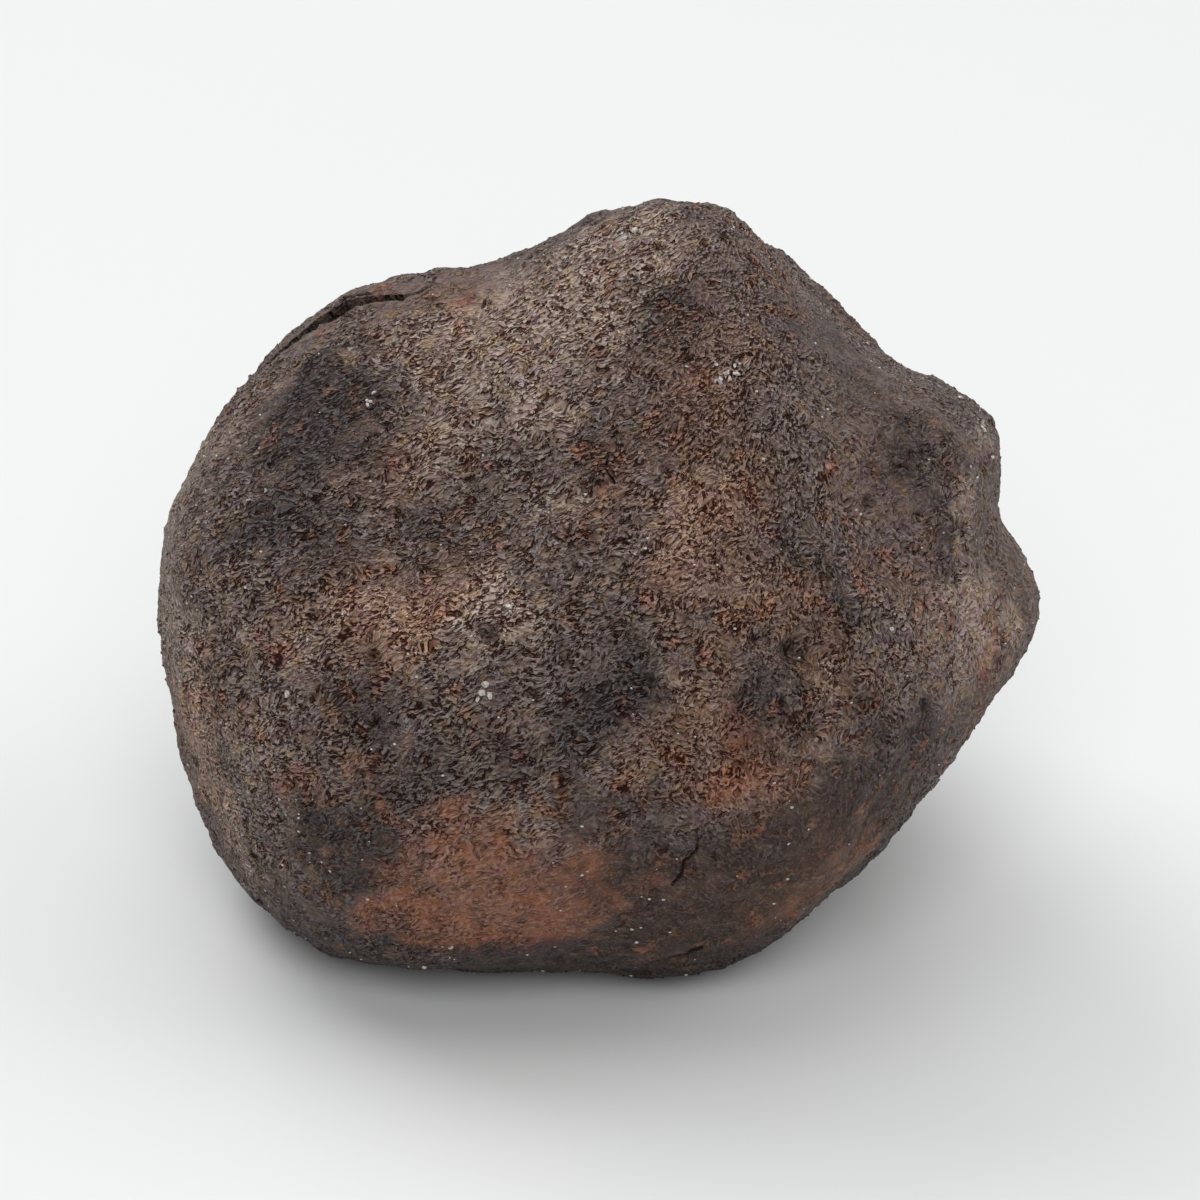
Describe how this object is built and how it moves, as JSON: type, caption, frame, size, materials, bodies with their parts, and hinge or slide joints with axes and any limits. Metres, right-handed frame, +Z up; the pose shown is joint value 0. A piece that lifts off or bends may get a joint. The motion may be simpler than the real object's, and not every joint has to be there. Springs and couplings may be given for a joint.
{
  "type": "chondrite meteorite",
  "caption": "Small loose stony meteorite with a dark, rust-stained, finely granular weathered crust, blunt knobs and shallow thumbprint hollows, resting on a small flat spot.",
  "frame": {"origin": "middle of the stone's box seen from above, on the surface that it rests on", "axes": "+Z up, +X to the stone's right along its longest side, -Y the front"},
  "size_m": [0.0376, 0.0316, 0.0305],
  "materials": {
    "weathered_crust": "matt, finely granular, charcoal to rust brown"
  },
  "bodies": {
    "root": {"stone": "weathered_crust"}
  },
  "joints": []
}
